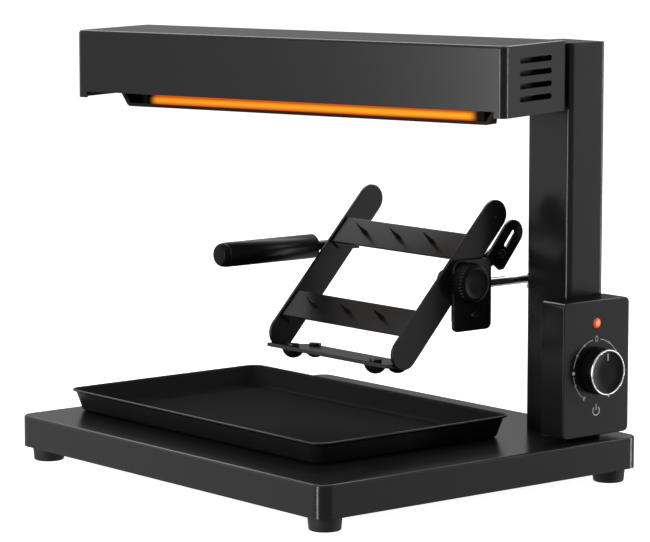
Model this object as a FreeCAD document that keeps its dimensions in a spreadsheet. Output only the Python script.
import FreeCAD, Part
import math
import os
import re
import Sketcher
from FreeCAD import Vector

# Raclette machine: a folded steel base with a drip tray, a post that carries a swivelling
# heating arm and its quartz lamp, and a tilting holder on a rod that is clamped to the post.
# Millimetres. +Z is up, +X runs along the control side and +Y away from it.
# The origin is under the middle of the whole machine, on the surface that it stands on.

# Each size is one row of the sheet: its name, its value and what it is.
SIZES = [
    ("gauge", "1.5", "thickness of the folded sheet steel"),
    ("slip", "0.3", "clearance round a piece that sits inside another"),
    ("fit", "0.05", "radial clearance of a turning or sliding shaft"),
    ("press", "0.02", "radial clearance of a pin or screw in its own body"),
    ("foot_high", "11.5", "height of a rubber foot"),
    ("foot_wide", "13.5", "radius of a foot at the base"),
    ("foot_sole", "12.4", "radius of a foot at the floor"),
    ("foot_side", "17.5", "foot's centre from the base's side"),
    ("foot_end", "18", "foot's centre from the base's front and back"),
    ("foot_recess", "5", "radius of the recess for the foot screw's head"),
    ("recess_deep", "4", "depth of that recess"),
    ("base_wide", "332", "base along X"),
    ("base_deep", "400", "base along Y"),
    ("base_high", "26.2", "height of the folded base"),
    ("base_corner", "11", "radius of the base's upright corners"),
    ("base_edge", "2", "radius of the base's top edge"),
    ("standoff_wide", "6", "radius of a standoff inside the base"),
    ("screw_shank", "2", "radius of an M4 screw"),
    ("screw_head", "3.5", "radius of an M4 pan head"),
    ("screw_head_high", "2", "height of an M4 pan head"),
    ("screw_long", "9", "length of an M4 screw's shank"),
    ("post_side", "9.5", "post's outer side from the base's side"),
    ("post_in", "34", "post's front face from the base's front"),
    ("post_wide", "39.5", "post along X"),
    ("post_deep", "50", "post along Y"),
    ("post_high", "316.5", "height of the post above the base"),
    ("post_corner", "4.5", "radius of the post's upright corners"),
    ("plug_high", "6", "depth of the post cap's plug"),
    ("foot_block_high", "20", "height of the block that holds the post down"),
    ("bolt_shank", "3", "radius of an M6 bolt"),
    ("bolt_head", "5", "radius of an M6 bolt's head"),
    ("bolt_head_high", "4", "height of an M6 bolt's head"),
    ("bolt_long", "18", "length of an M6 bolt's shank"),
    ("bolt_gap", "24", "distance between the two post bolts"),
    ("stiffener_thick", "3", "thickness of the plate under the base's top, below the post"),
    ("stiffener_over", "8", "how far that plate reaches beyond the post"),
    ("post_screw_up", "10", "height of the post's low screws above the base"),
    ("post_screw_gap", "18", "distance between those screws"),
    ("gland_up", "40", "height of the lead's gland above the base"),
    ("gland_wide", "6", "radius of the gland's body"),
    ("gland_bore", "3.6", "radius of the gland's bore"),
    ("gland_out", "8", "how far the gland stands out"),
    ("gland_flange", "8", "radius of the gland's inner flange"),
    ("gland_flange_thick", "2", "thickness of that flange"),
    ("box_side", "5.6", "control housing from the base's side"),
    ("box_wide", "72.6", "control housing along X"),
    ("box_high", "109.4", "control housing's height"),
    ("box_deep", "25.8", "control housing's depth in front of the post"),
    ("box_lift", "3.5", "gap between the base and the control housing"),
    ("box_corner", "4.5", "radius of the control housing's corners"),
    ("box_edge", "1", "radius of the control housing's front edge"),
    ("dial_in", "36.4", "heat knob's axis from the housing's inner side"),
    ("dial_up", "52.8", "height of the heat knob's axis above the housing's foot"),
    ("lamp_up", "91.1", "height of the indicator above the housing's foot"),
    ("lens_wide", "4", "radius of the indicator's lens"),
    ("lens_dome", "1.4", "how far the lens stands out"),
    ("lens_flange", "0.9", "thickness of the lens's flange"),
    ("lens_top", "2", "radius of the lens's top"),
    ("lens_neck", "3.2", "radius of the lens's neck in its hole"),
    ("indicator_wide", "5", "radius of the indicator's body"),
    ("indicator_long", "14", "length of the indicator's body"),
    ("boss_wide", "4", "radius of the housing's screw bosses"),
    ("boss_in", "9.2", "boss from the housing's side"),
    ("boss_low", "20", "boss from the housing's foot and from its top"),
    ("wire_hole", "7", "radius of the wire holes"),
    ("wire_up", "24", "height of the wire hole above the housing's foot"),
    ("regulator_wide", "34", "heat regulator along X"),
    ("regulator_high", "30", "heat regulator along Z"),
    ("regulator_deep", "12", "depth of the heat regulator"),
    ("neck_wide", "4.4", "radius of the regulator's threaded neck"),
    ("neck_out", "3", "how far the neck stands out of the housing"),
    ("nut_wide", "7", "radius of the neck's nut across its corners"),
    ("nut_thick", "2", "thickness of that nut"),
    ("shaft_wide", "3", "radius of the regulator's shaft"),
    ("shaft_in", "8", "how far the shaft reaches into the regulator"),
    ("knob_wide", "19", "radius of the heat knob at its skirt"),
    ("knob_face", "18.2", "radius of the heat knob at its face"),
    ("knob_gap", "0.6", "gap between the heat knob and the housing"),
    ("knob_out", "13.7", "how far the heat knob stands out"),
    ("knob_hollow", "15", "radius of the hollow in the knob's back"),
    ("knob_hollow_deep", "4.4", "depth of that hollow"),
    ("ring_wide", "18.5", "radius of the knob's bright ring"),
    ("ring_thick", "1.8", "width of that ring across its face"),
    ("ring_deep", "0.8", "depth of that ring"),
    ("pointer_wide", "1.6", "width of the pointer groove"),
    ("pointer_long", "8", "length of the pointer groove"),
    ("pointer_in", "2.8", "tip of the pointer groove from the ring's outer edge"),
    ("pointer_deep", "0.5", "depth of the pointer groove"),
    ("arm_yaw", "17.8", "angle that the arm is swung out by in the photo, in degrees"),
    ("swivel_in", "48", "arm's swivel from the post's inner face"),
    ("swivel_back", "49", "arm's swivel behind the post's front face"),
    ("arm_inset", "28", "swivel to the arm's inner side"),
    ("arm_wide", "100", "width of the arm"),
    ("arm_back", "60", "swivel to the arm's near end"),
    ("arm_long", "411", "length of the arm"),
    ("arm_over", "3", "arm's top face above the post's top"),
    ("arm_high", "56.2", "height of the arm's end walls"),
    ("arm_cut", "5", "how much shorter the arm's long walls are"),
    ("arm_tab", "10", "length of the corner tabs that stay full height"),
    ("arm_corner", "5", "radius of the arm's upright corners"),
    ("arm_edge", "3", "radius of the arm's top edge"),
    ("vent_left", "25.5", "vent slots from the arm's inner side"),
    ("vent_long", "51", "length of a vent slot"),
    ("vent_high", "4.4", "height of a vent slot"),
    ("vent_top", "12.8", "arm's top to the middle of the highest vent slot"),
    ("vent_pitch", "10", "distance between vent slots"),
    ("guard_in", "12", "guard plate behind the vents, from the arm's near end"),
    ("shield_thick", "1.2", "thickness of the arm's bottom plate"),
    ("spacer_wide", "4", "radius of a spacer above the bottom plate"),
    ("spacer_in", "6.2", "spacer axis from the arm's end and long walls"),
    ("shield_screw", "1.6", "radius of a shield screw's shank"),
    ("shield_screw_head", "3", "radius of a shield screw's head"),
    ("shield_screw_long", "12", "length of a shield screw's shank"),
    ("pin_wide", "5", "radius of the swivel pin"),
    ("pin_bore", "3", "radius of the wire way through the swivel pin"),
    ("pin_head", "8", "radius of the swivel pin's head"),
    ("pin_head_high", "4", "height of the swivel pin's head"),
    ("hub_wide", "12", "radius of the swivel bracket's hub"),
    ("ring_gap", "4.8", "gap between the arm's bottom plate and the pin's retaining ring"),
    ("hub_high", "14", "height of the hub"),
    ("bush_wide", "7", "radius of a swivel bush"),
    ("bush_flange", "10", "radius of a swivel bush's flange"),
    ("bush_flange_thick", "1", "thickness of that flange"),
    ("ear_thick", "3", "thickness of the hinge bracket's ears"),
    ("ear_wide", "24", "reach of the ears from the swivel, away from the post"),
    ("ear_short", "12", "reach of the ears from the swivel, towards the post"),
    ("ear_deep", "32", "ears along the arm"),
    ("clip_wide", "8", "radius of the pin's retaining ring"),
    ("clip_thick", "1.2", "thickness of the retaining ring"),
    ("tongue_thick", "5", "thickness of the swivel bracket's tongue"),
    ("tongue_drop", "20", "fall of the tongue's middle line towards the front, at the post"),
    ("flange_thick", "4", "thickness of the swivel bracket's flange"),
    ("flange_wide", "24", "swivel bracket's flange along Y"),
    ("flange_high", "40", "swivel bracket's flange along Z"),
    ("flange_screw_gap", "26.6", "distance between the swivel bracket's screws"),
    ("sweep_near", "43", "tongue's slot in the arm, from the swivel towards the near end"),
    ("sweep_far", "24", "tongue's slot in the arm, from the swivel towards the far end"),
    ("sweep_gap", "3", "gap above and below the tongue in that slot"),
    ("trough_wide", "46", "width of the lamp's reflector"),
    ("trough_start", "21.5", "reflector's near end, from the arm's near end"),
    ("trough_end", "24.5", "reflector's far end, from the arm's far end"),
    ("trough_deep", "13", "depth of the reflector"),
    ("trough_lean", "8.5", "how much each end of the reflector leans in"),
    ("trough_gauge", "1.2", "thickness of the reflector"),
    ("trough_round", "4", "radius of the reflector's lower ends"),
    ("trough_skew", "32.8", "slant of the reflector's near end, seen from above, in degrees"),
    ("rail_high", "2.8", "height of the reflector's lower rail"),
    ("window_in", "4", "lamp window from the reflector's leaning ends"),
    ("lamp_deep", "8.8", "lamp's axis below the arm's bottom plate"),
    ("lamp_wide", "4.6", "radius of the quartz tube"),
    ("lamp_bore", "3.2", "bore radius of the quartz tube"),
    ("coil_wide", "2", "radius of the heating coil"),
    ("cap_long", "6", "length of a ceramic end block"),
    ("cap_gap", "10.2", "far ceramic end block from the reflector's far end"),
    ("cap_gap_near", "22", "near ceramic end block from the reflector's near end"),
    ("cap_wide", "12", "width of a ceramic end block"),
    ("cap_below", "4.6", "ceramic end block below the lamp's axis"),
    ("tray_side", "43.5", "tray's rim from the base's open side"),
    ("tray_end", "8", "tray's rim from the base's back"),
    ("tray_wide", "203", "tray over its rim along X"),
    ("tray_deep", "334", "tray over its rim along Y"),
    ("tray_taper", "7.2", "how far the tray's floor lies inside its rim"),
    ("tray_high", "18.5", "height of the tray"),
    ("tray_corner", "12", "corner radius of the tray's rim"),
    ("tray_floor_corner", "10", "corner radius of the tray's floor"),
    ("tray_gauge", "1.6", "thickness of the tray"),
    ("tray_lip", "2.4", "how far the tray's rim turns out"),
    ("pivot_in", "66.7", "holder's pivot from the post's inner face"),
    ("pivot_up", "125.8", "holder's pivot above the base's top"),
    ("rail_slope", "47", "slope of the holder's rails in the photo, in degrees"),
    ("layer_back", "49", "bracket plate's front face behind the post's front face"),
    ("plate_thick", "3", "thickness of the bracket plate and of the rails"),
    ("plate_left", "12.3", "bracket plate from the pivot, towards the tray"),
    ("plate_right", "28.2", "bracket plate from the pivot, towards the post"),
    ("plate_up", "18.5", "bracket plate above the pivot"),
    ("plate_down", "39.8", "bracket plate below the pivot"),
    ("plate_corner", "5", "radius of the bracket plate's corners"),
    ("block_left", "7.7", "bracket block's side from the pivot"),
    ("block_wide", "20", "bracket block along X"),
    ("block_down", "35.3", "bracket block below the pivot"),
    ("block_up", "8", "bracket block above the pivot"),
    ("block_deep", "19", "bracket block along Y"),
    ("joint_gap", "0.3", "gap between the turning rail and the bracket either side"),
    ("boss_pivot", "8", "radius of the boss round the tilt knob's stud"),
    ("spacer_x", "9.7", "bracket screw from the pivot along X"),
    ("spacer_z", "27.3", "bracket screw below the pivot"),
    ("bracket_spacer_wide", "4", "radius of the spacer between the plate and the block"),
    ("stud_wide", "4", "radius of the tilt knob's stud"),
    ("stud_in", "13", "how far the stud reaches into the bracket block"),
    ("tilt_knob_wide", "16.3", "radius of the tilt knob"),
    ("tilt_knob_deep", "13.2", "depth of the tilt knob"),
    ("tilt_knob_gap", "0.3", "gap between the tilt knob and the bracket plate"),
    ("tilt_knob_edge", "1", "bevel at the tilt knob's back"),
    ("tilt_knob_face", "12.3", "radius of the tilt knob's face"),
    ("tilt_knob_slope", "2.4", "depth of the slope between its grip and its face"),
    ("flute_wide", "1.1", "radius of a grip flute on the tilt knob"),
    ("flute_out", "0.4", "flute's axis outside the tilt knob's edge"),
    ("rod_wide", "3.9", "radius of the holder's rod"),
    ("rod_back", "11", "rod's axis behind the bracket plate's front face"),
    ("rod_drop", "4.3", "rod's axis below the pivot"),
    ("rod_start", "10", "rod's end from the pivot along X"),
    ("rod_past", "1.5", "rod's free end beyond the post's outer side"),
    ("clamp_wide", "17", "rod clamp along X"),
    ("clamp_in", "11", "clamp's middle from the post's outer side"),
    ("clamp_high", "26", "rod clamp along Z"),
    ("clamp_behind", "8", "rod clamp behind the rod's axis"),
    ("clamp_screw_up", "8", "clamp screws above and below the rod"),
    ("clamp_screw_gap", "9.8", "distance between the clamp screws along the rod"),
    ("set_screw_up", "16", "length of the set screw above the clamp"),
    ("set_screw_wide", "6", "radius of the set screw's grip"),
    ("link_x", "51", "link's screw from the pivot, along the rail"),
    ("link_drop", "29.9", "link's screw below the pivot, across the rail"),
    ("link_wide", "10.6", "half width of the slotted link"),
    ("link_low", "11.5", "link's lower end from its screw"),
    ("link_high", "20.8", "centre of the link's round end from its screw"),
    ("link_gap", "0.3", "gap between the link and its arm"),
    ("link_lean", "3.5", "lean of the link against the rail, in degrees"),
    ("slot_start", "8.6", "start of the link's slot from its screw"),
    ("slot_long", "12.8", "length of the link's slot"),
    ("slot_wide", "2", "half width of the link's slot"),
    ("link_arm_wide", "6.5", "half width of the arm behind the link"),
    ("rail_low", "79.7", "centre of the rail's round low end below the pivot, along the slope"),
    ("rail_high_end", "61.5", "centre of the rail's round high end, along the slope"),
    ("rail_top", "21.6", "rail's upper edge above the pivot, across the slope"),
    ("rail_under", "4.3", "rail's lower edge below the pivot, at its low end"),
    ("rail_under_high", "2.9", "the same at its high end"),
    ("lug_wide", "12.5", "radius of the near rail's lug round the pivot"),
    ("rail_span", "151", "distance between the two rails' inner faces"),
    ("cross_thick", "2", "thickness of the cross plates"),
    ("cross_top", "20", "cross plates' top, across the slope"),
    ("cross_wide", "25", "cross plates along the slope"),
    ("cross_low", "70", "start of the low cross plate below the pivot, along the slope"),
    ("cross_high", "8", "start of the high cross plate above the pivot, along the slope"),
    ("hem_deep", "10", "folded flange at each end of a cross plate"),
    ("spike_wide", "2.2", "radius of a spike's foot"),
    ("spike_tip", "0.3", "radius of a spike's tip"),
    ("spike_high", "13", "height of a spike"),
    ("spike_gap", "42", "distance between spikes"),
    ("stop_angle", "128", "angle between the rails and the lower stop, in degrees"),
    ("stop_along", "86", "lower stop's root below the pivot, along the slope"),
    ("stop_across", "2.5", "lower stop's root above the pivot, across the slope"),
    ("stop_long", "17", "lower stop beyond its root"),
    ("stop_back", "20", "lower stop behind its root, under the rails"),
    ("tab_side", "11.5", "stop's part under the rails, from each rail"),
    ("dome_wide", "9.5", "radius of a dome nut"),
    ("dome_in", "23.5", "dome nuts from the nearer rail's inner face"),
    ("dome_first", "8.3", "outer dome nut from the stop's root"),
    ("dome_pitch", "23.2", "distance between the dome nuts of a pair"),
    ("dome_sink", "2.5", "how far a dome nut's centre lies under its seat"),
    ("dome_stud", "2.5", "radius of a dome nut's stud"),
    ("dome_stud_head", "5", "radius of a dome nut stud's head"),
    ("rivet_along", "61", "rivet from the pivot, along the rail"),
    ("rivet_across", "7", "rivet above the pivot, across the rail"),
    ("rivet_wide", "2.2", "radius of a rivet's head"),
    ("rivet_top", "1.1", "radius of the head's top"),
    ("rivet_high", "0.7", "height of a rivet's head"),
    ("handle_wide", "10.2", "radius of the handle grip"),
    ("handle_up", "14.4", "handle's axis above the pivot"),
    ("handle_long", "117.3", "handle's free end from the pivot"),
    ("handle_start", "18", "handle grip's inner end from the pivot"),
    ("handle_cap", "6", "length of the handle's end cap"),
    ("handle_cap_end", "7", "radius of the end cap's face"),
    ("handle_rod", "4", "radius of the rod inside the handle"),
    ("handle_rod_end", "24", "end of that rod from the pivot along X"),
]

# Grip flutes round the tilt knob.
FLUTES = 20

doc = FreeCAD.newDocument("RacletteMachine")
sheet = doc.addObject("Spreadsheet::Sheet", "Sizes")
for row, (name, value, note) in enumerate(SIZES, start=1):
    sheet.set(f"A{row}", note)
    sheet.set(f"B{row}", value)
    sheet.setAlias(f"B{row}", name)
doc.recompute()

NAMES = {name for name, value, note in SIZES}
NODES = {}

# Places on the stand that several pieces share: X and Y from the base's centre, Z from the floor.
BASE_TOP = "(foot_high + base_high)"
POST_X = "(base_wide / 2 - post_side - post_wide)"
POST_MID_X = f"({POST_X} + post_wide / 2)"
POST_FRONT = "(post_in - base_deep / 2)"
POST_BACK = f"({POST_FRONT} + post_deep)"
POST_MID_Y = f"({POST_FRONT} + post_deep / 2)"
POST_TOP = f"({BASE_TOP} + post_high)"
BOX_LEFT = "(base_wide / 2 - box_side - box_wide)"
BOX_MID_X = f"({BOX_LEFT} + box_wide / 2)"
BOX_FRONT = f"({POST_FRONT} - box_deep)"
BOX_FOOT = f"({BASE_TOP} + box_lift)"
BOX_MID_Z = f"({BOX_FOOT} + box_high / 2)"
DIAL_X = f"({BOX_LEFT} + dial_in)"
DIAL_Z = f"({BOX_FOOT} + dial_up)"
LENS_Z = f"({BOX_FOOT} + lamp_up)"
TRAY_X = "(tray_side + tray_wide / 2 - base_wide / 2)"
TRAY_Y = "(base_deep / 2 - tray_end - tray_deep / 2)"

# The swivel, and places on the arm from it: X across the arm, Y along it, Z from the floor.
SWIVEL_X = f"({POST_X} - swivel_in)"
SWIVEL_Y = f"({POST_FRONT} + swivel_back)"
ARM_IN = "arm_inset"
ARM_OUT = "(arm_inset - arm_wide)"
ARM_MID_X = "(arm_inset - arm_wide / 2)"
ARM_NEAR = "(-arm_back)"
ARM_FAR = "(arm_long - arm_back)"
ARM_MID_Y = "(arm_long / 2 - arm_back)"
ARM_TOP = f"({POST_TOP} + arm_over)"
ARM_FOOT = f"({ARM_TOP} - arm_high)"
WALL_FOOT = f"({ARM_FOOT} + arm_cut)"
SHIELD_TOP = f"({WALL_FOOT} + shield_thick)"
ROOF = f"({ARM_TOP} - gauge)"
LOW_EAR = f"({SHIELD_TOP} + ring_gap + clip_thick)"
HUB_LOW = f"({LOW_EAR} + ear_thick + bush_flange_thick)"
HUB_MID = f"({HUB_LOW} + hub_high / 2)"
UP_EAR = f"({HUB_LOW} + hub_high + bush_flange_thick)"
TROUGH_NEAR = f"({ARM_NEAR} + trough_start)"
TROUGH_FAR = f"({ARM_FAR} - trough_end)"
TROUGH_FOOT = f"({WALL_FOOT} - trough_deep)"
LAMP_NEAR = f"({TROUGH_NEAR} + cap_gap_near + cap_long)"
LAMP_FAR = f"({TROUGH_FAR} - cap_gap - cap_long)"
LAMP_AXIS = f"({WALL_FOOT} - lamp_deep)"

# The holder's pivot, and the layers of its bracket from front to back: plate, turning rail, block.
PIVOT_X = f"({POST_X} - pivot_in)"
PIVOT_Z = f"({BASE_TOP} + pivot_up)"
LAYER_FRONT = f"({POST_FRONT} + layer_back)"
RAIL_FRONT = f"({LAYER_FRONT} + plate_thick + joint_gap)"
RAIL_BACK = f"({RAIL_FRONT} + plate_thick)"
BLOCK_FRONT = f"({RAIL_BACK} + joint_gap)"
BLOCK_BACK = f"({BLOCK_FRONT} + block_deep)"
FAR_RAIL = f"({RAIL_BACK} + rail_span)"
ROD_Y = f"({LAYER_FRONT} + rod_back)"
ROD_Z = f"({PIVOT_Z} - rod_drop)"
LINK_ARM_FRONT = f"({BLOCK_BACK} - plate_thick)"
LINK_X = "(link_x * cos(rail_slope) + link_drop * sin(rail_slope))"
LINK_Z = "(link_x * sin(rail_slope) - link_drop * cos(rail_slope))"

# Half the difference between the arm's far end and the heat knob's face puts the origin midway.
FAR_END = (f"({SWIVEL_Y} + (arm_inset - arm_corner) * sin(arm_yaw)"
           f" + ({ARM_FAR} - arm_corner) * cos(arm_yaw) + arm_corner)")
SHIFT = f"((knob_out - {BOX_FRONT} - {FAR_END}) / 2)"

# Screws that hold one part of the stand on another.
CORNERS = [(sx, sy) for sx in (-1, 1) for sy in (-1, 1)]
POST_BOLTS = [f"{POST_MID_Y} + ({side}) * bolt_gap / 2" for side in (-1, 1)]
LOW_SCREWS = [f"{POST_MID_X} + ({side}) * post_screw_gap / 2" for side in (-1, 1)]
BACK_SCREWS = [f"{BOX_FOOT} + boss_low", f"{BOX_FOOT} + box_high - boss_low"]
BOSS_X = f"({BOX_LEFT} + boss_in)"
FLANGE_Y = f"({SWIVEL_Y} - tongue_drop)"
FLANGE_SCREWS = [f"{HUB_MID} + ({side}) * flange_screw_gap / 2" for side in (-1, 1)]
CLAMP_X = f"({POST_X} + post_wide - clamp_in)"
CLAMP_SCREWS = [(f"{CLAMP_X} + ({side}) * clamp_screw_gap / 2", f"{ROD_Z} + ({side}) * clamp_screw_up")
                for side in (-1, 1)]

# Bores that go right through a wall start one gauge before it and are three gauges long.
THROUGH = "3 * gauge"

# Turns that point a piece's own +Z along one of the row's axes.
TURNS = {
    "+z": "rotation(vector(1; 0; 0); 0)",
    "-z": "rotation(vector(1; 0; 0); 180)",
    "+y": "rotation(vector(1; 0; 0); -90)",
    "-y": "rotation(vector(1; 0; 0); 90)",
    "+x": "rotation(vector(0; 1; 0); 90)",
    "-x": "rotation(vector(0; 1; 0); -90)",
}

# Frames: where each group of pieces is put. Pieces are drawn from the base's centre,
# from the arm's swivel, from the holder's pivot or from the link's screw.
STAND = f"placement(vector(0; {SHIFT}; 0); rotation(vector(0; 0; 1); 0))"
SWIVEL = f"placement(vector({SWIVEL_X}; {SWIVEL_Y} + {SHIFT}; 0); rotation(vector(0; 0; 1); 0))"
ARM = f"placement(vector({SWIVEL_X}; {SWIVEL_Y} + {SHIFT}; 0); rotation(vector(0; 0; 1); arm_yaw))"
BRACKET = f"placement(vector({PIVOT_X}; {SHIFT}; {PIVOT_Z}); rotation(vector(0; 0; 1); 0))"
HOLDER = f"placement(vector({PIVOT_X}; {SHIFT}; {PIVOT_Z}); rotation(vector(0; 1; 0); -rail_slope))"
LINK = (f"placement(vector({PIVOT_X} + {LINK_X}; {SHIFT}; {PIVOT_Z} + {LINK_Z}); "
        "rotation(vector(0; 1; 0); -rail_slope - link_lean))")


def linked(text):
    """A formula in the sheet's names, written as the document's own expression."""
    return re.sub(r"[a-z][a-z_]*", lambda m: "Sizes." + m[0] if m[0] in NAMES else m[0], str(text))


def bind(item, **formulas):
    """Bind each property of an object to its formula."""
    for prop, text in formulas.items():
        item.setExpression(prop, linked(text))
    return item


def spot(at, way="+z"):
    """Placement formula for a point and a direction."""
    x, y, z = at
    return f"placement(vector({x}; {y}; {z}); {TURNS[way]})"


def box(x, y, z):
    """A box from three (low, high) pairs of formulas."""
    item = doc.addObject("Part::Box", "Box")
    bind(item, Length=f"({x[1]}) - ({x[0]})", Width=f"({y[1]}) - ({y[0]})",
         Height=f"({z[1]}) - ({z[0]})", Placement=spot((x[0], y[0], z[0])))
    return item


def rod(radius, length, at, way="+z"):
    """A round bar of a radius and length, from a point along a direction."""
    item = doc.addObject("Part::Cylinder", "Rod")
    return bind(item, Radius=radius, Height=length, Placement=spot(at, way))


def cone(radius, far_radius, length, at, way="+z"):
    """A cone from one radius to another."""
    item = doc.addObject("Part::Cone", "Cone")
    return bind(item, Radius1=radius, Radius2=far_radius, Height=length, Placement=spot(at, way))


def fuse(*pieces):
    """Pieces welded into one solid."""
    item = doc.addObject("Part::MultiFuse", "Fuse")
    item.Shapes = list(pieces)
    item.Refine = True
    return item


def cut(base, *tools):
    """A piece with others taken away."""
    item = doc.addObject("Part::Cut", "Cut")
    item.Base = base
    item.Tool = tools[0] if len(tools) == 1 else fuse(*tools)
    return item


def tube(radius, bore, length, at, way="+z"):
    """A round bar with a bore right through."""
    return cut(rod(radius, length, at, way), rod(bore, length, at, way))


def screw(head, head_high, shank, length, at, way):
    """A pan-head screw: its seat is at the point, and its shank runs along the direction."""
    back = {"+": "-", "-": "+"}[way[0]] + way[1]
    return fuse(rod(head, head_high, at, back), rod(shank, length, at, way))


def m4_screw(at, way, length="screw_long"):
    """An M4 pan-head screw."""
    return screw("screw_head", "screw_head_high", "screw_shank", length, at, way)


def m4_hole(length, at, way="+z"):
    """The hole that an M4 screw's shank goes through or screws into."""
    return rod("screw_shank + press", length, at, way)


def rounded_sketch(body, wide, deep, corner, lift="0"):
    """A rectangle with round corners on a body's XY plane, centred on its origin."""
    sketch = body.newObject("Sketcher::SketchObject", "Outline")
    plane = [item for item in body.Origin.OriginFeatures if item.Role == "XY_Plane"][0]
    sketch.AttachmentSupport = [(plane, "")]
    sketch.MapMode = "FlatFace"
    # A first guess at the size lets the solver start near its answer.
    half_x, half_y, r = 50.0, 40.0, 5.0
    corners = [(half_x - r, half_y - r), (r - half_x, half_y - r),
               (r - half_x, r - half_y), (half_x - r, r - half_y)]
    arcs = []
    for n, (cx, cy) in enumerate(corners):
        circle = Part.Circle(Vector(cx, cy, 0), Vector(0, 0, 1), r)
        arc = Part.ArcOfCircle(circle, n * math.pi / 2, (n + 1) * math.pi / 2)
        arcs.append(sketch.addGeometry(arc))
    lines = []
    for n in range(4):
        a = sketch.Geometry[arcs[n]].EndPoint
        b = sketch.Geometry[arcs[(n + 1) % 4]].StartPoint
        lines.append(sketch.addGeometry(Part.LineSegment(a, b)))
    for n in range(4):
        sketch.addConstraint(Sketcher.Constraint("Tangent", arcs[n], 2, lines[n], 1))
        sketch.addConstraint(Sketcher.Constraint("Tangent", lines[n], 2, arcs[(n + 1) % 4], 1))
    for n, way in enumerate(("Horizontal", "Vertical", "Horizontal", "Vertical")):
        sketch.addConstraint(Sketcher.Constraint(way, lines[n]))
    for n in (1, 2, 3):
        sketch.addConstraint(Sketcher.Constraint("Equal", arcs[0], arcs[n]))
    sketch.addConstraint(Sketcher.Constraint("Symmetric", lines[0], 1, lines[2], 1, -1, 1))
    spans = [("DistanceX", lines[1], 1, lines[3], 1, 2 * half_x, "wide", wide),
             ("DistanceY", lines[2], 1, lines[0], 1, 2 * half_y, "deep", deep)]
    for kind, one, one_end, other, other_end, value, label, formula in spans:
        index = sketch.addConstraint(Sketcher.Constraint(kind, one, one_end, other, other_end, value))
        sketch.renameConstraint(index, label)
        sketch.setExpression("Constraints." + label, linked(formula))
    index = sketch.addConstraint(Sketcher.Constraint("Radius", arcs[0], r))
    sketch.renameConstraint(index, "corner")
    sketch.setExpression("Constraints.corner", linked(corner))
    return bind(sketch, **{"AttachmentOffset.Base.z": lift})


def rounded_block(wide, deep, high, corner, at, way="+z", edge=None):
    """A block with round upright corners, and a rounded far edge where edge is given."""
    body = doc.addObject("PartDesign::Body", "Block")
    sketch = rounded_sketch(body, wide, deep, corner)
    pad = body.newObject("PartDesign::Pad", "Pad")
    pad.Profile = sketch
    bind(pad, Length=high)
    if edge:
        doc.recompute()
        top = pad.Shape.BoundBox.ZMax
        rim = [f"Edge{n}" for n, line in enumerate(pad.Shape.Edges, start=1)
               if all(abs(v.Point.z - top) < 1e-6 for v in line.Vertexes)]
        soft = body.newObject("PartDesign::Fillet", "SoftEdge")
        soft.Base = (pad, rim)
        bind(soft, Radius=edge)
    return bind(body, Placement=spot(at, way))


def lofted_block(bottom, top, high, at):
    """A block between two rounded rectangles, each (wide, deep, corner), at its foot and its top."""
    body = doc.addObject("PartDesign::Body", "Loft")
    low = rounded_sketch(body, *bottom)
    up = rounded_sketch(body, *top, lift=high)
    loft = body.newObject("PartDesign::AdditiveLoft", "Walls")
    loft.Profile = low
    loft.Sections = [up]
    loft.Ruled = True
    return bind(body, Placement=spot(at))


def node(name, frame, *pieces):
    """Put one named piece, or one group of identical pieces, in its frame."""
    item = doc.addObject("Part::Compound", name)
    item.Links = list(pieces)
    item.Label = name
    NODES[name] = bind(item, Placement=frame)


def base():
    """The folded base, open underneath, its closing plate, standoffs, feet and screws."""
    shell = rounded_block("base_wide", "base_deep", "base_high", "base_corner",
                          ("0", "0", "foot_high"), edge="base_edge")
    hollow = rounded_block("base_wide - 2 * gauge", "base_deep - 2 * gauge", "base_high - gauge",
                           "base_corner - gauge", ("0", "0", "foot_high"))
    bolt_holes = [rod("bolt_shank + press", THROUGH, (POST_MID_X, y, f"{BASE_TOP} - 2 * gauge"))
                  for y in POST_BOLTS]
    node("base_shell", STAND, cut(shell, hollow, *bolt_holes))

    plate = rounded_block("base_wide - 2 * gauge - 2 * slip", "base_deep - 2 * gauge - 2 * slip", "gauge",
                          "base_corner - gauge - slip", ("0", "0", "foot_high"))
    spots = [(f"({sx}) * (base_wide / 2 - foot_side)", f"({sy}) * (base_deep / 2 - foot_end)")
             for sx, sy in CORNERS]
    holes = [m4_hole(THROUGH, (x, y, "foot_high - gauge")) for x, y in spots]
    node("base_plate", STAND, cut(plate, *holes))

    feet, standoffs, screws = [], [], []
    for x, y in spots:
        foot = cone("foot_sole", "foot_wide", "foot_high", (x, y, "0"))
        recess = rod("foot_recess", "recess_deep", (x, y, "0"))
        feet.append(cut(foot, recess, m4_hole("foot_high", (x, y, "0"))))
        standoffs.append(tube("standoff_wide", "screw_shank + press", "base_high - 2 * gauge",
                              (x, y, "foot_high + gauge")))
        screws.append(m4_screw((x, y, "recess_deep"), "+z", "foot_high - recess_deep + gauge + screw_long"))
    node("rubber_feet", STAND, *feet)
    node("base_standoffs", STAND, *standoffs)
    node("foot_screws", STAND, *screws)


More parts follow.
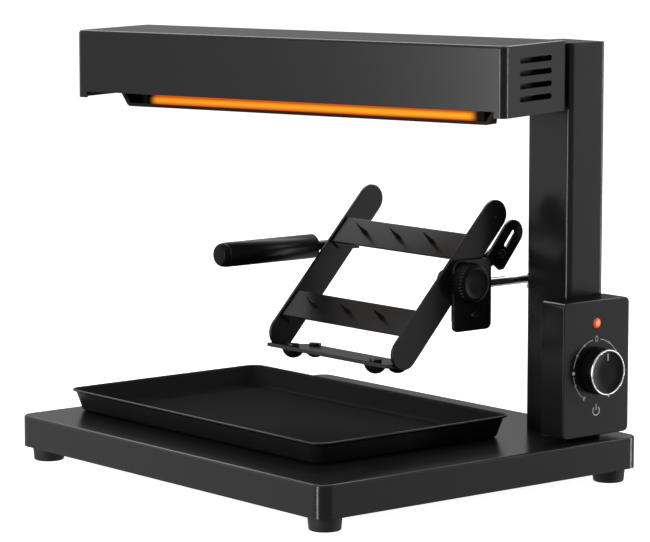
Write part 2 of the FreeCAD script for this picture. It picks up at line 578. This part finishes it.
def post():
    """The post: a folded square tube, its cap, the block inside its foot and what bolts it down."""
    at = (POST_MID_X, POST_MID_Y, BASE_TOP)
    inside = ("post_wide - 2 * gauge - 2 * slip", "post_deep - 2 * gauge - 2 * slip")
    behind = f"{POST_BACK} + gauge"
    before = f"{POST_FRONT} - gauge"
    outer = rounded_block("post_wide", "post_deep", "post_high - gauge", "post_corner", at)
    inner = rounded_block("post_wide - 2 * gauge", "post_deep - 2 * gauge", "post_high - gauge",
                          "post_corner - gauge", at)
    holes = [m4_hole(THROUGH, (x, behind, f"{BASE_TOP} + post_screw_up"), "-y") for x in LOW_SCREWS]
    holes.append(rod("gland_wide + press", THROUGH, (POST_MID_X, behind, f"{BASE_TOP} + gland_up"), "-y"))
    holes += [m4_hole(THROUGH, (POST_MID_X, before, z), "+y") for z in BACK_SCREWS]
    holes.append(rod("wire_hole", THROUGH, (POST_MID_X, before, f"{BOX_FOOT} + wire_up"), "+y"))
    holes += [m4_hole(THROUGH, (f"{POST_X} - gauge", FLANGE_Y, z), "+x") for z in FLANGE_SCREWS]
    holes += [m4_hole(THROUGH, (x, behind, z), "-y") for x, z in CLAMP_SCREWS]
    node("post_tube", STAND, cut(outer, inner, *holes))

    cap = rounded_block("post_wide", "post_deep", "gauge", "post_corner",
                        (POST_MID_X, POST_MID_Y, f"{POST_TOP} - gauge"))
    plug = rounded_block(*inside, "plug_high", "post_corner - gauge - slip",
                         (POST_MID_X, POST_MID_Y, f"{POST_TOP} - gauge - plug_high"))
    node("post_cap", STAND, fuse(cap, plug))

    block = rounded_block(*inside, "foot_block_high", "post_corner - gauge - slip", at)
    threads = [rod("bolt_shank + press", "foot_block_high", (POST_MID_X, y, BASE_TOP)) for y in POST_BOLTS]
    taps = [m4_hole("screw_long", (x, f"{POST_BACK} - gauge", f"{BASE_TOP} + post_screw_up"), "-y")
            for x in LOW_SCREWS]
    node("post_foot_block", STAND, cut(block, *threads, *taps))

    under = f"{BASE_TOP} - gauge - stiffener_thick"
    stiffener = box((f"{POST_X} - stiffener_over", "base_wide / 2 - gauge - slip"),
                    (f"{POST_FRONT} - stiffener_over", f"{POST_BACK} + stiffener_over"),
                    (under, f"{BASE_TOP} - gauge"))
    ways = [rod("bolt_shank + press", "stiffener_thick", (POST_MID_X, y, under)) for y in POST_BOLTS]
    node("post_stiffener", STAND, cut(stiffener, *ways))
    node("post_bolts", STAND, *[screw("bolt_head", "bolt_head_high", "bolt_shank", "bolt_long",
                                      (POST_MID_X, y, under), "+z") for y in POST_BOLTS])

    outlet = (POST_MID_X, f"{POST_BACK} + gland_out", f"{BASE_TOP} + gland_up")
    seat = (POST_MID_X, f"{POST_BACK} - gauge", f"{BASE_TOP} + gland_up")
    gland = fuse(rod("gland_wide", "gland_out + gauge", outlet, "-y"),
                 rod("gland_flange", "gland_flange_thick", seat, "-y"))
    bore = rod("gland_bore", "gland_out + gauge + gland_flange_thick", outlet, "-y")
    node("cord_gland", STAND, cut(gland, bore))


def control_box():
    """The control housing on the post's front, its back plate, indicator and heat regulator."""
    at = (BOX_MID_X, POST_FRONT, BOX_MID_Z)
    inner = f"{BOX_FRONT} + gauge"
    shell = rounded_block("box_wide", "box_high", "box_deep", "box_corner", at, "-y", edge="box_edge")
    hollow = rounded_block("box_wide - 2 * gauge", "box_high - 2 * gauge", "box_deep - gauge",
                           "box_corner - gauge", at, "-y")
    seats = [(BOSS_X, f"{POST_FRONT} - gauge", z) for z in BACK_SCREWS]
    bosses = [rod("boss_wide", "box_deep - 2 * gauge", seat, "-y") for seat in seats]
    bores = [m4_hole("screw_long", seat, "-y") for seat in seats]
    neck_hole = rod("neck_wide + press", THROUGH, (DIAL_X, f"{BOX_FRONT} - gauge", DIAL_Z), "+y")
    lens_hole = rod("lens_neck + press", THROUGH, (DIAL_X, f"{BOX_FRONT} - gauge", LENS_Z), "+y")
    open_shell = cut(shell, hollow, neck_hole, lens_hole)
    node("control_housing", STAND, cut(fuse(open_shell, *bosses), *bores))

    plate = rounded_block("box_wide - 2 * gauge - 2 * slip", "box_high - 2 * gauge - 2 * slip", "gauge",
                          "box_corner - gauge - slip", at, "-y")
    holes = [m4_hole("gauge", (x, POST_FRONT, z), "-y") for x in (BOSS_X, POST_MID_X) for z in BACK_SCREWS]
    wires = rod("wire_hole", "gauge", (POST_MID_X, POST_FRONT, f"{BOX_FOOT} + wire_up"), "-y")
    node("control_back_plate", STAND, cut(plate, wires, *holes))

    flange = rod("lens_wide", "lens_flange", (DIAL_X, BOX_FRONT, LENS_Z), "-y")
    dome = cone("lens_wide", "lens_top", "lens_dome - lens_flange",
                (DIAL_X, f"{BOX_FRONT} - lens_flange", LENS_Z), "-y")
    neck = rod("lens_neck", "gauge", (DIAL_X, BOX_FRONT, LENS_Z), "+y")
    node("indicator_lens", STAND, fuse(flange, dome, neck))
    node("indicator_lamp", STAND, rod("indicator_wide", "indicator_long", (DIAL_X, inner, LENS_Z), "+y"))

    body = box((f"{DIAL_X} - regulator_wide / 2", f"{DIAL_X} + regulator_wide / 2"),
               (inner, f"{inner} + regulator_deep"),
               (f"{DIAL_Z} - regulator_high / 2", f"{DIAL_Z} + regulator_high / 2"))
    collar = rod("neck_wide", "neck_out + gauge", (DIAL_X, inner, DIAL_Z), "-y")
    way = rod("shaft_wide + fit", "neck_out + gauge + shaft_in + fit",
              (DIAL_X, f"{BOX_FRONT} - neck_out", DIAL_Z), "+y")
    node("heat_regulator", STAND, cut(fuse(body, collar), way))
    nut = doc.addObject("Part::Prism", "Nut")
    nut.Polygon = 6
    bind(nut, Circumradius="nut_wide", Height="nut_thick", Placement=spot((DIAL_X, BOX_FRONT, DIAL_Z), "-y"))
    thread = rod("neck_wide + press", "nut_thick", (DIAL_X, BOX_FRONT, DIAL_Z), "-y")
    node("regulator_nut", STAND, cut(nut, thread))


def stand_screws():
    """The stand's M4 screws: post foot, back plate, housing, swivel bracket and rod clamp."""
    behind = f"{ROD_Y} + clamp_behind"
    screws = [m4_screw((x, POST_BACK, f"{BASE_TOP} + post_screw_up"), "-y") for x in LOW_SCREWS]
    screws += [m4_screw((POST_MID_X, f"{POST_FRONT} - gauge", z), "+y") for z in BACK_SCREWS]
    screws += [m4_screw((BOSS_X, POST_FRONT, z), "-y") for z in BACK_SCREWS]
    screws += [m4_screw((f"{POST_X} - flange_thick", FLANGE_Y, z), "+x") for z in FLANGE_SCREWS]
    long = f"{behind} - {POST_BACK} + {THROUGH}"
    screws += [m4_screw((x, behind, z), "-y", long) for x, z in CLAMP_SCREWS]
    node("stand_screws", STAND, *screws)


def heat_knob():
    """The heat knob with its bright ring, and the regulator's shaft that it turns."""
    back = f"{BOX_FRONT} - knob_gap"
    face = f"{BOX_FRONT} - knob_out"
    tip = "knob_out - 3 * gauge"
    tip_up = f"{DIAL_Z} + ring_wide - pointer_in"
    body = cone("knob_wide", "knob_face", "knob_out - knob_gap", (DIAL_X, back, DIAL_Z), "-y")
    hollow = rod("knob_hollow", "knob_hollow_deep", (DIAL_X, back, DIAL_Z), "-y")
    bore = rod("shaft_wide + press", tip, (DIAL_X, BOX_FRONT, DIAL_Z), "-y")
    seat = tube("knob_wide", "ring_wide - ring_thick", "ring_deep", (DIAL_X, face, DIAL_Z), "+y")
    pointer = box((f"{DIAL_X} - pointer_wide / 2", f"{DIAL_X} + pointer_wide / 2"),
                  (face, f"{face} + pointer_deep"), (f"{tip_up} - pointer_long", tip_up))
    node("control_knob", STAND, cut(body, hollow, bore, seat, pointer))
    node("knob_ring", STAND, tube("ring_wide", "ring_wide - ring_thick", "ring_deep",
                                  (DIAL_X, face, DIAL_Z), "+y"))
    node("regulator_shaft", STAND, rod("shaft_wide", f"{tip} + gauge + shaft_in",
                                       (DIAL_X, f"{BOX_FRONT} - ({tip})", DIAL_Z), "+y"))


def arm():
    """The arm's housing with its vents, its bottom plate and the spacers and screws that hold it."""
    shell = rounded_block("arm_wide", "arm_long", "arm_high", "arm_corner",
                          (ARM_MID_X, ARM_MID_Y, ARM_FOOT), edge="arm_edge")
    hollow = rounded_block("arm_wide - 2 * gauge", "arm_long - 2 * gauge", "arm_high - gauge",
                           "arm_corner - gauge", (ARM_MID_X, ARM_MID_Y, ARM_FOOT))
    notch = box((f"{ARM_OUT} - gauge", f"{ARM_IN} + gauge"),
                (f"{ARM_NEAR} + arm_tab", f"{ARM_FAR} - arm_tab"), (f"{ARM_FOOT} - gauge", WALL_FOOT))
    wall = (f"{ARM_NEAR} - gauge", f"{ARM_NEAR} + 2 * gauge")
    right = f"{ARM_IN} - vent_left - vent_high / 2"
    left = f"{ARM_IN} - vent_left - vent_long + vent_high / 2"
    slots = []
    for n in range(4):
        z = f"{ARM_TOP} - vent_top - {n} * vent_pitch"
        slots.append(box((left, right), wall, (f"{z} - vent_high / 2", f"{z} + vent_high / 2")))
        slots += [rod("vent_high / 2", THROUGH, (x, wall[0], z), "+y") for x in (left, right)]
    sweep = box((f"{ARM_IN} - 2 * gauge", f"{ARM_IN} + gauge"), ("-sweep_near", "sweep_far"),
                (f"{HUB_MID} - tongue_thick / 2 - sweep_gap", f"{HUB_MID} + tongue_thick / 2 + sweep_gap"))
    guard = box((f"{ARM_IN} - vent_left - vent_long", f"{ARM_IN} - gauge"),
                (f"{ARM_NEAR} + guard_in", f"{ARM_NEAR} + guard_in + shield_thick"),
                (f"{SHIELD_TOP} + slip", ROOF))
    node("arm_housing", ARM, fuse(cut(shell, hollow, notch, *slots, sweep), guard))

    plate = rounded_block("arm_wide - 2 * gauge - 2 * slip", "arm_long - 2 * gauge - 2 * slip",
                          "shield_thick", "arm_corner - gauge - slip", (ARM_MID_X, ARM_MID_Y, WALL_FOOT))
    spots = [(f"{ARM_MID_X} + ({sx}) * (arm_wide / 2 - gauge - spacer_in)",
              f"{ARM_MID_Y} + ({sy}) * (arm_long / 2 - gauge - spacer_in)") for sx, sy in CORNERS]
    holes = [rod("shield_screw + press", "shield_thick", (x, y, WALL_FOOT)) for x, y in spots]
    node("arm_bottom_plate", ARM, cut(plate, *holes))
    node("arm_spacers", ARM, *[tube("spacer_wide", "shield_screw + press", f"{ROOF} - {SHIELD_TOP}",
                                    (x, y, SHIELD_TOP)) for x, y in spots])
    node("shield_screws", ARM, *[screw("shield_screw_head", "screw_head_high", "shield_screw",
                                       "shield_screw_long", (x, y, WALL_FOOT), "+z") for x, y in spots])


def swivel():
    """The swivel: bracket on the post, bushes in its hub, hinge bracket in the arm, pin and ring."""
    across = ("-ear_wide - ear_thick", "ear_short")
    along = ("-ear_deep / 2", "ear_deep / 2")
    web = box((across[0], "-ear_wide"), along, (LOW_EAR, ROOF))
    ears = [box(across, along, (z, f"{z} + ear_thick")) for z in (LOW_EAR, UP_EAR)]
    top = box(across, along, (f"{ROOF} - ear_thick", ROOF))
    bore = rod("pin_wide + press", f"{UP_EAR} + ear_thick - {LOW_EAR}", ("0", "0", LOW_EAR))
    node("arm_hinge_bracket", ARM, cut(fuse(web, *ears, top), bore))

    clip = f"{LOW_EAR} - clip_thick"
    head = f"{UP_EAR} + ear_thick"
    pin = fuse(rod("pin_wide", f"{head} - ({clip})", ("0", "0", clip)),
               rod("pin_head", "pin_head_high", ("0", "0", head)))
    wires = rod("pin_bore", f"{head} + pin_head_high - ({clip})", ("0", "0", clip))
    node("swivel_pin", ARM, cut(pin, wires))
    node("pin_ring", ARM, tube("clip_wide", "pin_wide + press", "clip_thick", ("0", "0", clip)))

    bushes = []
    for seat, way, back in ((HUB_LOW, "+z", "-z"), (f"{HUB_LOW} + hub_high", "-z", "+z")):
        sleeve = rod("bush_wide", "hub_high / 2 - slip", ("0", "0", seat), way)
        flange = rod("bush_flange", "bush_flange_thick", ("0", "0", seat), back)
        bushes.append(cut(fuse(sleeve, flange), rod("pin_wide + fit", ARM_TOP, ("0", "0", "0"))))
    node("swivel_bushes", SWIVEL, *bushes)

    reach = "swivel_in - flange_thick"
    hub = rod("hub_wide", "hub_high", ("0", "0", HUB_LOW))
    flange = box((reach, "swivel_in"),
                 ("-tongue_drop - flange_wide / 2", "-tongue_drop + flange_wide / 2"),
                 (f"{HUB_MID} - flange_high / 2", f"{HUB_MID} + flange_high / 2"))
    tongue = doc.addObject("Part::Wedge", "Tongue")
    bind(tongue, Ymin="0", Ymax=reach, Xmin="-hub_wide", Xmax="hub_wide", Zmin="0", Zmax="tongue_thick",
         X2min="tongue_drop - flange_wide / 2", X2max="tongue_drop + flange_wide / 2",
         Z2min="0", Z2max="tongue_thick",
         Placement=f"placement(vector(0; 0; {HUB_MID} - tongue_thick / 2); rotation(vector(0; 0; 1); -90))")
    holes = [m4_hole("flange_thick", (reach, "-tongue_drop", z), "+x") for z in FLANGE_SCREWS]
    bore = rod("bush_wide + press", "hub_high", ("0", "0", HUB_LOW))
    node("swivel_bracket", SWIVEL, cut(fuse(hub, flange, tongue), bore, *holes))


def leaning_block(inset, across, foot, roof):
    """A long block whose ends stay an inset inside the reflector's ends, which lean in downwards."""
    low_in = f"({inset} + trough_lean * ({WALL_FOOT} - {foot}) / trough_deep)"
    top_in = f"({inset} + trough_lean * ({WALL_FOOT} - {roof}) / trough_deep)"
    turn = "rotation(vector(0; 0; 1); 90) * rotation(vector(1; 0; 0); 90)"
    item = doc.addObject("Part::Wedge", "Trough")
    return bind(item, Ymin="0", Ymax=f"{roof} - {foot}",
                Xmin=f"{TROUGH_NEAR} + {low_in}", Xmax=f"{TROUGH_FAR} - {low_in}",
                X2min=f"{TROUGH_NEAR} + {top_in}", X2max=f"{TROUGH_FAR} - {top_in}",
                Zmin=across[0], Zmax=across[1], Z2min=across[0], Z2max=across[1],
                Placement=f"placement(vector({ARM_MID_X}; 0; {foot}); {turn})")


def skewed(block, inset):
    """Take a long block's near end off on a slant, so that it's shorter on the swivel's side."""
    corner = spot((f"{ARM_MID_X} - trough_wide / 2", TROUGH_NEAR, f"{TROUGH_FOOT} - trough_deep"))
    slant = "placement(vector(0; 0; 0); rotation(vector(0; 0; 1); trough_skew))"
    back = spot(("-trough_wide / 2", f"{inset} - trough_wide", "0"))
    off = doc.addObject("Part::Box", "Slant")
    bind(off, Length="2 * trough_wide", Width="trough_wide", Height="3 * trough_deep",
         Placement=f"{corner} * {slant} * {back}")
    return cut(block, off)


def lamp():
    """The quartz lamp under the arm: reflector, tube, coil and ceramic end blocks."""
    outer = leaning_block("0", ("-trough_wide / 2", "trough_wide / 2"), TROUGH_FOOT, WALL_FOOT)
    doc.recompute()
    foot = outer.Shape.BoundBox.ZMin
    soft = doc.addObject("Part::Fillet", "SoftEnds")
    soft.Base = outer
    soft.Edges = [(n, sheet.trough_round, sheet.trough_round)
                  for n, edge in enumerate(outer.Shape.Edges, start=1)
                  if abs(edge.BoundBox.ZMax - foot) < 1e-6 and edge.Length < 2 * sheet.trough_wide]
    low = f"({TROUGH_FOOT} - gauge)"
    roof = f"({WALL_FOOT} - trough_gauge)"
    side = "trough_wide / 2 - trough_gauge"
    inner = leaning_block("trough_gauge", (f"-({side})", side), low, roof)
    window = leaning_block("window_in", ("-trough_gauge - trough_wide / 2", f"trough_gauge - ({side})"),
                           f"({TROUGH_FOOT} + rail_high)", roof)
    node("lamp_trough", ARM, cut(skewed(soft, "0"), skewed(inner, "trough_gauge"), window))

    axis = (ARM_MID_X, LAMP_NEAR, LAMP_AXIS)
    long = f"{LAMP_FAR} - {LAMP_NEAR}"
    node("quartz_tube", ARM, tube("lamp_wide", "lamp_bore", long, axis, "+y"))
    node("heating_coil", ARM, rod("coil_wide", long, axis, "+y"))
    ends = ((f"{LAMP_NEAR} - cap_long", LAMP_NEAR), (LAMP_FAR, f"{LAMP_FAR} + cap_long"))
    node("lamp_end_blocks", ARM, *[box((f"{ARM_MID_X} - cap_wide / 2", f"{ARM_MID_X} + cap_wide / 2"), along,
                                       (f"{LAMP_AXIS} - cap_below", roof)) for along in ends])


def tray():
    """The lift-out drip tray: leaning walls with round corners and a rim that turns out."""
    at = (TRAY_X, TRAY_Y, BASE_TOP)
    floor = ("tray_wide - 2 * tray_taper", "tray_deep - 2 * tray_taper", "tray_floor_corner")
    rim = ("tray_wide - 2 * tray_lip", "tray_deep - 2 * tray_lip", "tray_corner - tray_lip / 2")
    outer = lofted_block(floor, rim, "tray_high", at)
    lip = rounded_block("tray_wide", "tray_deep", "tray_gauge", "tray_corner",
                        (TRAY_X, TRAY_Y, f"{BASE_TOP} + tray_high - tray_gauge"))
    thin = [f"{side} - 2 * tray_gauge" for side in floor[:2]] + ["tray_floor_corner - tray_gauge / 2"]
    wide = [f"{side} - 2 * tray_gauge" for side in rim[:2]] + ["tray_corner - tray_lip / 2 - tray_gauge / 2"]
    inner = lofted_block(thin, wide, "tray_high", (TRAY_X, TRAY_Y, f"{BASE_TOP} + tray_gauge"))
    node("drip_tray", STAND, cut(fuse(outer, lip), inner))


def bracket():
    """The bracket that slides with the rod: rod, plate, block, spacer and screw."""
    seat = ("spacer_x", LAYER_FRONT, "-spacer_z")
    node("holder_rod", BRACKET, rod("rod_wide", "pivot_in + post_wide + rod_past - rod_start",
                                    ("rod_start", ROD_Y, "-rod_drop"), "+x"))
    middle = ("(plate_right - plate_left) / 2", LAYER_FRONT, "(plate_up - plate_down) / 2")
    plate = rounded_block("plate_left + plate_right", "plate_up + plate_down", "plate_thick",
                          "plate_corner", middle, "+y")
    stud_way = rod("stud_wide + fit", "plate_thick", ("0", LAYER_FRONT, "0"), "+y")
    node("bracket_plate", BRACKET, cut(plate, stud_way, m4_hole("plate_thick", seat, "+y")))
    node("bracket_spacer", BRACKET, tube("bracket_spacer_wide", "screw_shank + press",
                                         "plate_thick + 2 * joint_gap",
                                         ("spacer_x", f"{LAYER_FRONT} + plate_thick", "-spacer_z"), "+y"))
    node("bracket_screw", BRACKET, m4_screw(seat, "+y", "2 * plate_thick + 2 * joint_gap + screw_long"))

    deep = (BLOCK_FRONT, BLOCK_BACK)
    block = box(("block_left", "block_left + block_wide"), deep, ("-block_down", "block_up"))
    boss = rod("boss_pivot", "block_deep", ("0", BLOCK_FRONT, "0"), "+y")
    web = box(("0", "block_left + plate_thick"), deep, ("-boss_pivot", "boss_pivot"))
    root = "block_left + block_wide / 2"
    reach = f"sqrt(({LINK_X} - ({root})) ^ 2 + {LINK_Z} ^ 2)"
    angle = f"atan2({LINK_Z}; {LINK_X} - ({root}))"
    arm_bar = doc.addObject("Part::Box", "LinkArm")
    bind(arm_bar, Length=reach, Width="plate_thick", Height="2 * link_arm_wide",
         Placement=f"placement(vector({root}; {LINK_ARM_FRONT}; 0); rotation(vector(0; 1; 0); -({angle})))"
                   " * placement(vector(0; 0; -link_arm_wide); rotation(vector(0; 0; 1); 0))")
    arm_end = rod("link_arm_wide", "plate_thick", (LINK_X, LINK_ARM_FRONT, LINK_Z), "+y")
    ways = [rod("stud_wide + fit", "stud_in + slip", ("0", BLOCK_FRONT, "0"), "+y"),
            rod("rod_wide + press", "block_wide + block_left", ("rod_start", ROD_Y, "-rod_drop"), "+x"),
            m4_hole("screw_long", ("spacer_x", BLOCK_FRONT, "-spacer_z"), "+y"),
            rod("screw_shank + fit", "plate_thick", (LINK_X, LINK_ARM_FRONT, LINK_Z), "+y")]
    node("bracket_block", BRACKET, cut(fuse(block, boss, web, arm_bar, arm_end), *ways))


def clamp():
    """The clamp behind the post that holds the rod, and its set screw."""
    side = f"{CLAMP_X} - clamp_wide / 2"
    behind = f"{ROD_Y} + clamp_behind"
    top = f"{ROD_Z} + clamp_high / 2"
    block = box((side, f"{CLAMP_X} + clamp_wide / 2"), (POST_BACK, behind),
                (f"{ROD_Z} - clamp_high / 2", top))
    bore = rod("rod_wide + fit", "clamp_wide", (side, ROD_Y, ROD_Z), "+x")
    ways = [m4_hole("post_deep", (x, behind, z), "-y") for x, z in CLAMP_SCREWS]
    set_way = m4_hole("clamp_high / 2", (CLAMP_X, ROD_Y, ROD_Z))
    node("rod_clamp", STAND, cut(block, bore, set_way, *ways))
    tip = f"{ROD_Z} + rod_wide + fit"
    end = f"{top} + set_screw_up"
    thread = rod("screw_shank", f"{end} - ({tip})", (CLAMP_X, ROD_Y, tip))
    grip = rod("set_screw_wide", "screw_long", (CLAMP_X, ROD_Y, f"{end} - screw_long"))
    node("rod_set_screw", STAND, fuse(thread, grip))


def tilt_lock():
    """The fluted tilt knob and the stud that draws the rail tight against the bracket."""
    back = f"{LAYER_FRONT} - tilt_knob_gap"
    shoulder = f"{back} - tilt_knob_deep + tilt_knob_slope"
    knob = fuse(rod("tilt_knob_wide", "tilt_knob_deep - tilt_knob_edge - tilt_knob_slope",
                    ("0", f"{back} - tilt_knob_edge", "0"), "-y"),
                cone("tilt_knob_wide - tilt_knob_edge", "tilt_knob_wide", "tilt_knob_edge",
                     ("0", back, "0"), "-y"),
                cone("tilt_knob_wide", "tilt_knob_face", "tilt_knob_slope", ("0", shoulder, "0"), "-y"))
    axis = "(tilt_knob_wide + flute_out)"
    flutes = [rod("flute_wide", "tilt_knob_deep",
                  (f"{axis} * cos({n} * 360 / {FLUTES})", back, f"{axis} * sin({n} * 360 / {FLUTES})"), "-y")
              for n in range(FLUTES)]
    bore = rod("stud_wide + press", "tilt_knob_deep / 2", ("0", back, "0"), "-y")
    node("tilt_knob", BRACKET, cut(knob, bore, *flutes))
    length = "tilt_knob_deep / 2 + tilt_knob_gap + 2 * plate_thick + 2 * joint_gap + stud_in"
    node("tilt_stud", BRACKET, rod("stud_wide", length, ("0", f"{back} - tilt_knob_deep / 2", "0"), "+y"))


def link():
    """The slotted link that turns on its screw behind the bracket."""
    front = f"{LINK_ARM_FRONT} - link_gap - plate_thick"
    deep = (front, f"{front} + plate_thick")
    far = "slot_start + slot_long"
    bar = box(("-link_low", "link_high"), deep, ("-link_wide", "link_wide"))
    end = rod("link_wide", "plate_thick", ("link_high", front, "0"), "+y")
    hole = m4_hole("plate_thick", ("0", front, "0"), "+y")
    slot = box(("slot_start", far), deep, ("-slot_wide", "slot_wide"))
    ends = [rod("slot_wide", "plate_thick", (x, front, "0"), "+y") for x in ("slot_start", far)]
    node("slotted_link", LINK, cut(fuse(bar, end), hole, slot, *ends))
    node("link_screw", LINK, m4_screw(("0", front, "0"), "+y", "2 * plate_thick + link_gap"))


def rail(front):
    """The three pieces of one rail: a bar that tapers upwards, and its two round ends."""
    bar = doc.addObject("Part::Wedge", "Rail")
    bind(bar, Xmin="0", Xmax="plate_thick", X2min="0", X2max="plate_thick",
         Ymin="-rail_low", Ymax="rail_high_end",
         Zmin="-rail_under", Zmax="rail_top", Z2min="-rail_under_high", Z2max="rail_top",
         Placement=f"placement(vector(0; {front} + plate_thick; 0); rotation(vector(0; 0; 1); -90))")
    ends = [rod(f"(rail_top + {under}) / 2", "plate_thick", (x, front, f"(rail_top - {under}) / 2"), "+y")
            for x, under in (("-rail_low", "rail_under"), ("rail_high_end", "rail_under_high"))]
    return [bar] + ends


def holder():
    """The tilting holder: two rails, cross plates, spikes, lower stop, dome nuts and rivets."""
    lug = rod("lug_wide", "plate_thick", ("0", RAIL_FRONT, "0"), "+y")
    pivot = rod("stud_wide + fit", "plate_thick", ("0", RAIL_FRONT, "0"), "+y")
    node("near_rail", HOLDER, cut(fuse(*rail(RAIL_FRONT), lug), pivot))
    node("far_rail", HOLDER, fuse(*rail(FAR_RAIL)))

    plates, spikes = [], []
    for start in ("-cross_low", "cross_high"):
        along = (start, f"{start} + cross_wide")
        top = box(along, (RAIL_BACK, FAR_RAIL), ("cross_top - cross_thick", "cross_top"))
        hems = [box(along, (low, f"{low} + cross_thick"), ("cross_top - hem_deep", "cross_top"))
                for low in (RAIL_BACK, f"{FAR_RAIL} - cross_thick")]
        plates.append(fuse(top, *hems))
        for side in (-1, 0, 1):
            y = f"{RAIL_BACK} + rail_span / 2 + ({side}) * spike_gap"
            spikes.append(cone("spike_wide", "spike_tip", "spike_high",
                               (f"{start} + cross_wide / 2", y, "cross_top")))
    node("cross_plates", HOLDER, *plates)
    node("spikes", HOLDER, *spikes)

    stop = "placement(vector(-stop_along; 0; stop_across); rotation(vector(0; 1; 0); -stop_angle))"
    frame = f"{HOLDER} * {stop}"
    plate = fuse(box(("0", "stop_long"), (RAIL_BACK, FAR_RAIL), ("0", "plate_thick")),
                 box(("-stop_back", "stop_long"), (f"{RAIL_BACK} + tab_side", f"{FAR_RAIL} - tab_side"),
                     ("0", "plate_thick")))
    domes, ways = [], []
    for y in (f"{RAIL_BACK} + dome_in", f"{FAR_RAIL} - dome_in"):
        for x in ("dome_first", "dome_first - dome_pitch"):
            ways.append(rod("dome_stud + press", "plate_thick", (x, y, "0")))
            ball = doc.addObject("Part::Sphere", "Dome")
            bind(ball, Radius="dome_wide", Angle1="asin(dome_sink / dome_wide)",
                 Placement=spot((x, y, "plate_thick - dome_sink")))
            stud = rod("dome_stud", "plate_thick", (x, y, "0"))
            head = rod("dome_stud_head", "cross_thick", (x, y, "0"), "-z")
            domes.append(fuse(ball, stud, head))
    node("lower_stop", frame, cut(plate, *ways))
    node("dome_nuts", frame, *domes)

    outside = ((RAIL_FRONT, "-y"), (f"{FAR_RAIL} + plate_thick", "+y"))
    node("rail_rivets", HOLDER, *[cone("rivet_wide", "rivet_top", "rivet_high",
                                       ("rivet_along", seat, "rivet_across"), way) for seat, way in outside])


def handle():
    """The handle behind the far rail: a rod through a grip with an end cap, level in the photo."""
    frame = f"{HOLDER} * placement(vector(0; 0; 0); rotation(vector(0; 1; 0); rail_slope))"
    outside = f"{FAR_RAIL} + plate_thick"
    behind = f"{outside} + slip + handle_wide"
    end = ("handle_cap - handle_long", behind, "handle_up")
    bar = rod("handle_rod", "handle_rod_end + handle_long - handle_cap", end, "+x")
    foot = box(("handle_rod_end - 3 * handle_rod", "handle_rod_end"), (outside, behind),
               ("handle_up - handle_rod", "handle_up + handle_rod"))
    node("handle_arm", frame, fuse(bar, foot))
    node("handle_grip", frame, tube("handle_wide", "handle_rod + press",
                                    "handle_long - handle_cap - handle_start", end, "+x"))
    node("handle_end_cap", frame, cone("handle_wide", "handle_cap_end", "handle_cap", end, "-x"))


def report():
    """Stop on any failed object, then write each node."""
    doc.recompute()
    for item in doc.Objects:
        if "Invalid" in item.State or "Error" in item.State:
            raise RuntimeError(f"{item.Label} failed: {item.State}")
    os.makedirs("parts", exist_ok=True)
    for name, item in NODES.items():
        shape = item.Shape
        if shape.isNull() or not shape.isValid() or not shape.Solids:
            raise RuntimeError(f"{name} has no valid solid")
        shape.exportStep(f"parts/{name}.step")
        print(f"{name:22s} {len(shape.Solids)} solids {shape.Volume / 1000:9.2f} cm3")
    whole = Part.makeCompound([item.Shape for item in NODES.values()]).BoundBox
    print(f"X {whole.XMin:.2f} {whole.XMax:.2f}  Y {whole.YMin:.2f} {whole.YMax:.2f}")
    print(f"Z {whole.ZMin:.2f} {whole.ZMax:.2f}, {len(NODES)} nodes")


base()
post()
control_box()
stand_screws()
heat_knob()
arm()
swivel()
lamp()
tray()
bracket()
clamp()
tilt_lock()
link()
holder()
handle()
report()
